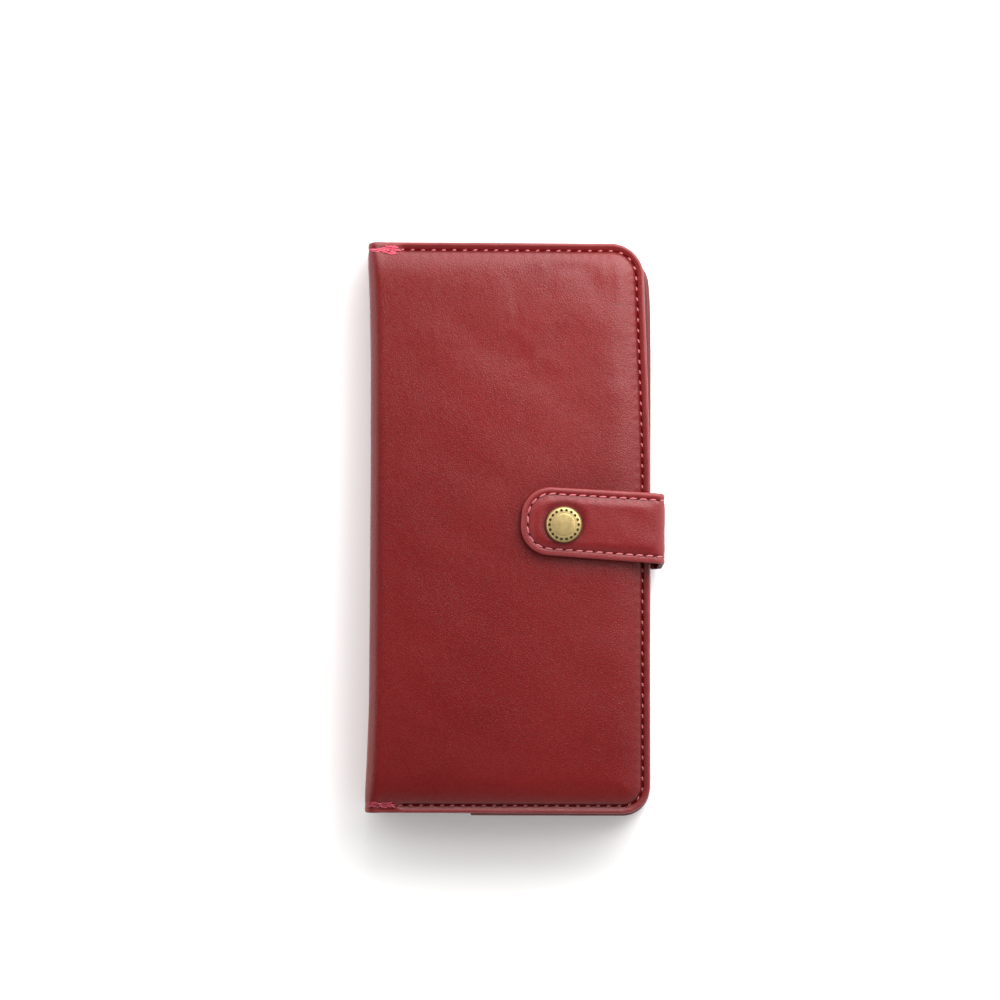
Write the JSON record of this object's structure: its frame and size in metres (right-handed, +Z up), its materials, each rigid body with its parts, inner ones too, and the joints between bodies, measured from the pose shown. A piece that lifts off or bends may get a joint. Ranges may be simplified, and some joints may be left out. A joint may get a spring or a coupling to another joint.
{
  "type": "phone wallet case",
  "caption": "Long padded leather phone wallet with a folding spine, stitched borders, slip pockets, a phone pocket and a strap that snaps shut over the front.",
  "frame": {"origin": "middle of the back cover's outer face, on which the closed wallet lies", "axes": "+X from the spine to the fore edge, +Y to the top end, +Z up out of the front cover"},
  "size_m": [0.1005, 0.19, 0.0292],
  "materials": {
    "outer_leather": "pebbled burgundy leather, satin",
    "pocket_leather": "smooth burgundy leather, satin",
    "lining": "dark brown twill lining",
    "strap_lining": "smooth dark burgundy leather, matt",
    "padding": "grey foam padding",
    "board": "bonded leather board, matt",
    "thread": "waxed thread, slightly lighter than the leather",
    "tack_thread": "bright pink thread",
    "snap_brass": "antique brass with dark patina",
    "spring_steel": "bare spring wire"
  },
  "bodies": {
    "back": {"back_outer_leather": "outer_leather", "back_padding": "padding", "back_board": "board", "back_lining": "lining", "back_stitching": "thread", "phone_pocket_gusset": "pocket_leather", "phone_pocket_panel": "pocket_leather", "strap_root": "outer_leather"},
    "spine": {"spine_leather": "outer_leather", "spine_lining": "lining"},
    "front": {"front_outer_leather": "outer_leather", "front_padding": "padding", "front_board": "board", "front_lining": "lining", "front_stitching": "thread", "front_bar_tacks": "tack_thread", "note_pocket": "pocket_leather", "card_pocket_1": "pocket_leather", "card_pocket_2": "pocket_leather", "card_pocket_3": "pocket_leather", "card_pocket_4": "pocket_leather", "snap_stud": "snap_brass", "snap_rivet": "snap_brass"},
    "strap_side": {"strap_side_leather": "outer_leather", "strap_side_lining": "strap_lining", "strap_side_stitching": "thread"},
    "strap_tab": {"strap_tab_leather": "outer_leather", "strap_tab_filler": "padding", "strap_tab_lining": "strap_lining", "strap_tab_stitching": "thread", "snap_cap": "snap_brass", "snap_socket": "snap_brass", "snap_spring": "spring_steel"}
  },
  "joints": [
    {"name": "spine_roll", "type": "hinge", "parent": "back", "child": "spine", "pos_m": [-0.0465, 0, 0.003], "axis": [0, -1, 0], "range_deg": [0, 90]},
    {"name": "cover_opening", "type": "hinge", "parent": "spine", "child": "front", "pos_m": [-0.0465, 0, 0.0204], "axis": [0, -1, 0], "range_deg": [0, 90]},
    {"name": "strap_root_swing", "type": "hinge", "parent": "back", "child": "strap_side", "pos_m": [0.05101, 0.00004, 0.0039], "axis": [0.0663, 0.9978, 0], "range_deg": [0, 90]},
    {"name": "strap_tip_lift", "type": "hinge", "parent": "strap_side", "child": "strap_tab", "pos_m": [0.05101, 0.00004, 0.0254], "axis": [0.0663, 0.9978, 0], "range_deg": [0, 90]}
  ],
  "couplings": [
    {"joint": "spine_roll", "follows": "cover_opening", "ratio": 1},
    {"joint": "strap_root_swing", "follows": "strap_tip_lift", "ratio": 1}
  ]
}
